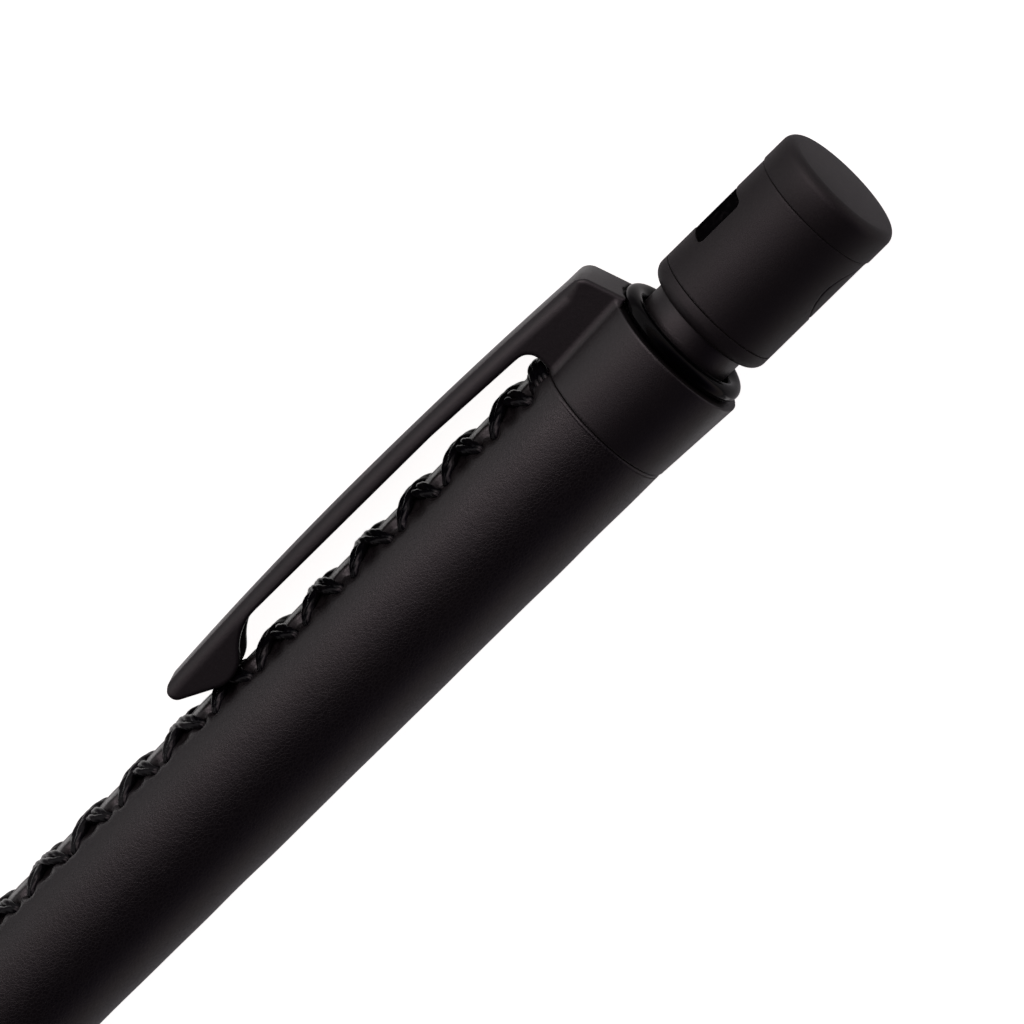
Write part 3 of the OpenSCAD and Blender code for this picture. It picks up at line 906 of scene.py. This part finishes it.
def make_pointer_housing(plastic):
    """The core of the push button, seen in the window."""
    finish_piece(implicit("pointer_housing", core_field, (6.4, -6.0, -6.0), (14.9, 6.0, 6.0),
                          0.16, plastic), "button", "black_plastic", "pointer_core")


def make_pointer_boss(lacquer):
    """The boss of the core, seen in the round hole."""
    finish_piece(implicit("pointer_boss", boss_field, (8.9, -6.0, -3.3), (15.3, -3.0, 3.3),
                          0.13, lacquer), "button", "black_lacquer", "pointer_core")


# ---------------------------------------------------------------- the writing end


def jaw_field(u, h, w):
    """The clutch leaf that stands between the clip side and the side it is seen from."""
    outline = [(-101.05, 2.95), (-101.05, 3.40), (-115.69, 3.40), (-118.30, 4.35),
               (-118.80, 4.40), (-120.30, 4.10), (-121.50, 3.45), (-121.50, 2.85),
               (-113.0, 2.85), (-112.9, 2.95)]
    profile = outline_field(u, np.hypot(h, w), outline)
    slit = math.radians(6)                    # half of the slit between two leaves
    walls = cut(h * math.sin(slit) - w * math.cos(slit),
                w * math.sin(slit) - h * math.cos(slit), 0.05)
    return cut(profile, walls, 0.12)


def make_front_ring(lacquer):
    """The bead that finishes the front edge of the leather."""
    ring = np.concatenate([[(LEATHER_FROM, ON_TUBE_R)], arc((-98.67, 5.37), 1.0, 0, 180, 24),
                           [(RING_TO, ON_TUBE_R)]])
    finish_piece(lathe("front_ring_bead", ring, lacquer, 160),
                 "barrel", "black_lacquer", "front_ring")


def make_nose(lacquer):
    """The nose cone, and its mouth that closes the clutch."""
    nose = rounded([(RING_TO, ON_TUBE_R), (RING_TO, 5.60, 0.12), (-106.97, 5.60, 3.0),
                    (-117.67, 4.74, 0.72), (-117.67, 4.15, 0.08), (-116.57, 3.75, 0.2),
                    (-115.5, 3.75, 0.3), (-112.5, TUBE_BORE_R, 0.3), (-102.67, TUBE_BORE_R),
                    (-102.67, ON_TUBE_R)], steps=10)
    finish_piece(lathe("nose_cone_turned", nose, lacquer, 160),
                 "barrel", "black_lacquer", "nose_cone")


def make_lead(graphite):
    """The lead and its blunt point."""
    lead = rounded([(-126.0, 0), (-126.0, 0.45, 0.25), (-121.9, 2.80, 0.3), (-6.0, 2.80, 0.3),
                    (-6.0, 0)], steps=6)
    finish_piece(lathe("lead_rod", lead, graphite, 96), "lead", "graphite", "lead")


def make_jaws(nickel):
    """The clutch's four leaves: one, turned into place four times."""
    leaf, faces = implicit_mesh(jaw_field, (-122.0, -0.6, -0.6), (-100.6, 4.9, 4.9), 0.11)
    for k in range(1, 5):
        quarter = (k - 2) * math.pi / 2
        c, n = round(math.cos(quarter)), round(math.sin(quarter))
        turned = leaf @ np.array([[1, 0, 0], [0, c, n], [0, -n, c]])
        obj = add_mesh(f"clutch_leaf_{k}", turned, faces, nickel)
        finish_piece(obj, f"jaw_{k}", "nickel", f"clutch_jaw_{k}")


SPRING_R, WIRE_R = 3.95, 0.28
SPRING_TURNS, STEPS_PER_TURN, WIRE_SIDES = 7, 40, 12


def make_spring(steel):
    """The return spring, its end turns closed."""
    fixed, moving = (corner.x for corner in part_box("return_spring"))
    low, span = (fixed - ORIGIN.x) / MM + WIRE_R, (moving - fixed) / MM - 2 * WIRE_R
    turn = np.linspace(0, SPRING_TURNS, SPRING_TURNS * STEPS_PER_TURN + 1)
    opened = np.interp(turn, (0.7, 1.3, SPRING_TURNS - 1.3, SPRING_TURNS - 0.7), (0, 1, 1, 0))
    opened = np.cumsum(opened) / opened.sum()
    closed = 2.04 * WIRE_R * turn
    u = low + closed + opened * (span - closed[-1])
    outward = np.stack([0 * turn, np.cos(2 * math.pi * turn), np.sin(2 * math.pi * turn)], -1)
    phi = np.arange(WIRE_SIDES) * 2 * math.pi / WIRE_SIDES
    wire = SPRING_R + WIRE_R * np.cos(phi)
    rings = outward[:, None] * wire[:, None] + (1, 0, 0) * (
        u[:, None] + WIRE_R * np.sin(phi))[..., None]
    points, faces = tube_mesh(rings)
    obj = add_mesh("return_spring_coil", points, faces, steel)
    finish_piece(obj, "barrel", "steel", "return_spring")
    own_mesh(obj)


# ---------------------------------------------------------------- stage

SHEET_REACH, SHEET_FLAT, SHEET_RISE = 3.0, 1.8, 0.25      # metres, and the rise's steepness


def make_stage():
    """A large sheet of paper that rises softly behind the object on every side."""
    rings, spokes = 24, 96
    r = np.linspace(0, 1, rings) ** 1.5 * SHEET_REACH + 0.001
    angle = np.arange(spokes) * 2 * math.pi / spokes
    z = np.maximum(r - SHEET_FLAT, 0) ** 2 * SHEET_RISE
    points = np.stack([r[:, None] * np.cos(angle), r[:, None] * np.sin(angle),
                       np.repeat(z[:, None], spokes, 1)], -1).reshape(-1, 3)
    faces = grid_faces(rings, spokes).tolist() + [list(range(spokes))]
    mesh = bpy.data.meshes.new("studio_floor")
    mesh.from_pydata(points.tolist(), [], faces)
    mesh.polygons.foreach_set("use_smooth", [True] * len(mesh.polygons))
    mesh.materials.append(make_floor())
    obj = bpy.data.objects.new("studio_floor", mesh)
    bpy.context.scene.collection.objects.link(obj)


VIEW_WIDTH = 0.0780       # metres across the picture at the pencil
VIEW_DISTANCE = 1.2
VIEW_AT = (-18.08, -0.133, 0.0)
SENSOR_WIDTH = 36
VIEW_TOWARDS_BUTTON = math.radians(14.5)
VIEW_TOWARDS_CLIP = math.radians(5.5)
VIEW_TILT = math.radians(44.5)


def make_camera():
    """A long lens square on to the pencil's side, turned so that the pencil rises."""
    back = (math.sin(VIEW_TOWARDS_BUTTON) * ALONG + math.cos(VIEW_TOWARDS_BUTTON)
            * (math.cos(VIEW_TOWARDS_CLIP) * SIDEWAYS + math.sin(VIEW_TOWARDS_CLIP) * TO_CLIP))
    along = (ALONG - ALONG.dot(back) * back).normalized()
    across = back.cross(along)
    right = math.cos(VIEW_TILT) * along - math.sin(VIEW_TILT) * across
    up = math.sin(VIEW_TILT) * along + math.cos(VIEW_TILT) * across
    data = bpy.data.cameras.new("camera")
    data.sensor_width = SENSOR_WIDTH
    data.lens = SENSOR_WIDTH * VIEW_DISTANCE / VIEW_WIDTH
    data.clip_start, data.clip_end = 0.01, 20
    camera = bpy.data.objects.new("camera", data)
    target = Vector(to_world([VIEW_AT])[0])
    camera.matrix_world = Matrix.Translation(target + back * VIEW_DISTANCE) @ Matrix(
        (right, up, back)).transposed().to_4x4()
    bpy.context.scene.collection.objects.link(camera)
    bpy.context.scene.camera = camera


LAMP_DISTANCE = 0.6
LAMP_COLOUR = (1.0, 0.83, 0.88)
KEY = (0.24, 0.96, 0.27), (0.50, 0.28), 1.27      # direction, size and strength
TOP = (0.22, 0.70, 0.72), (0.50, 0.32), 0.63


def soft_box(name, direction, size, strength):
    """A rectangular light that faces the pencil from that direction."""
    light = bpy.data.lights.new(name, "AREA")
    light.shape = "RECTANGLE"
    light.size, light.size_y = size
    light.energy = strength
    light.color = LAMP_COLOUR
    obj = bpy.data.objects.new(name, light)
    away = Vector(direction).normalized()
    target = Vector(to_world([VIEW_AT])[0])
    obj.location = target + away * LAMP_DISTANCE
    obj.rotation_mode = "QUATERNION"
    obj.rotation_quaternion = away.to_track_quat("Z", "Y")
    obj.visible_camera = False
    bpy.context.scene.collection.objects.link(obj)


def flag_lights(obj):
    """Shades one piece from the soft boxes, as a black flag on a stand would."""
    shaded = bpy.data.collections.new("flagged")
    shaded.objects.link(obj)
    shaded.collection_objects[0].light_linking.link_state = "EXCLUDE"
    for light in bpy.context.scene.objects:
        if light.type == "LIGHT":
            light.light_linking.receiver_collection = shaded


# the room's light over one direction, which runs from -1 to 1: from, to and the level at each
ROOM_HEIGHT = (0.20, 0.85, 0.32, 0.02)
ROOM_LENGTH = (-0.9, 0.9, 0.35, 1.8)
ROOM_DEPTH = (-0.9, -0.1, 1.7, 1.0)
WALL_COLOUR, CEILING_COLOUR = (1.0, 0.84, 0.80, 1), (0.62, 0.50, 1.0, 1)
CEILING_FADE = (0.2, 0.9, 0, 1)


def make_world():
    """A dim studio: pale walls near the horizon, brighter past the push button, dark above."""
    world = bpy.data.worlds.new("studio")
    bpy.context.scene.world = world
    world.use_nodes = True
    tree = world.node_tree

    def made(kind, **values):
        """A new node of the world with those settings."""
        node = tree.nodes.new(kind)
        for key, value in values.items():
            setattr(node, key, value)
        return node

    def faded(value, numbers):
        """A smooth fade of the value, given as from, to and the level at each."""
        node = made("ShaderNodeMapRange", interpolation_type="SMOOTHSTEP")
        tree.links.new(value, node.inputs["Value"])
        for socket, number in zip(RANGE, numbers):
            node.inputs[socket].default_value = number
        return node.outputs["Result"]

    coords = made("ShaderNodeTexCoord")
    split = made("ShaderNodeSeparateXYZ")
    tree.links.new(coords.outputs["Generated"], split.inputs[0])
    level = made("ShaderNodeMath", operation="MULTIPLY")
    tree.links.new(faded(split.outputs["Z"], ROOM_HEIGHT), level.inputs[0])
    tree.links.new(faded(split.outputs["X"], ROOM_LENGTH), level.inputs[1])
    side = made("ShaderNodeMath", operation="MULTIPLY")
    tree.links.new(level.outputs[0], side.inputs[0])
    tree.links.new(faded(split.outputs["Y"], ROOM_DEPTH), side.inputs[1])
    colour = made("ShaderNodeMix", data_type="RGBA")
    tree.links.new(faded(split.outputs["Z"], CEILING_FADE), colour.inputs["Factor"])
    colour.inputs[COLOUR_A].default_value = WALL_COLOUR
    colour.inputs[COLOUR_B].default_value = CEILING_COLOUR
    background = tree.nodes["Background"]
    tree.links.new(colour.outputs[COLOUR_OUT], background.inputs["Color"])
    tree.links.new(side.outputs[0], background.inputs["Strength"])


# ---------------------------------------------------------------- putting it together

def colour_kept_nodes():
    """Puts the material of its slot on every CAD object."""
    slots = {"leather": LEATHER, "waxed_thread": THREAD, "black_lacquer": LACQUER,
             "black_gloss": GLOSS, "brass": BRASS, "nickel": NICKEL, "steel": STEEL,
             "graphite": GRAPHITE, "rubber": RUBBER, "black_plastic": PLASTIC}
    for part in frame["record"]["subparts"]:
        mesh = frame["nodes"][part["node"]].data
        mesh.materials.clear()
        mesh.materials.append(slots[part["material_slot"]])


make_camera()
make_world()
make_stage()
soft_box("key", *KEY)
soft_box("top", *TOP)
bpy.context.scene.view_settings.view_transform = "Standard"

LEATHER = make_leather()
LACQUER = make_lacquer("black_lacquer", 0.36, 0.50)
DRY_LACQUER = make_lacquer("black_lacquer_dry", 0.46, 0.36)
GLOSS = make_gloss()
THREAD = make_thread()
BRASS = make_metal("brass", (0.62, 0.43, 0.17), (0.38, 0.24, 0.09), 0.22)
NICKEL = make_metal("nickel", (0.55, 0.53, 0.49), (0.38, 0.36, 0.32), 0.20)
STEEL = make_metal("steel", (0.48, 0.48, 0.49), (0.30, 0.30, 0.31), 0.24)
GRAPHITE = make_graphite()
RUBBER = make_rubber()
PLASTIC = make_plastic()

colour_kept_nodes()
make_leather_sleeve(LEATHER)
make_stitches(THREAD)
make_clip(LACQUER)
flag_lights(make_end_bush(GLOSS))
make_stem(LACQUER)
make_stem_ring(RUBBER)
make_button_base(DRY_LACQUER)
make_button_end(DRY_LACQUER)
make_button_shell(DRY_LACQUER)
make_pointer_housing(PLASTIC)
make_pointer_boss(DRY_LACQUER)
make_front_ring(LACQUER)
make_nose(LACQUER)
make_lead(GRAPHITE)
make_jaws(NICKEL)
make_spring(STEEL)
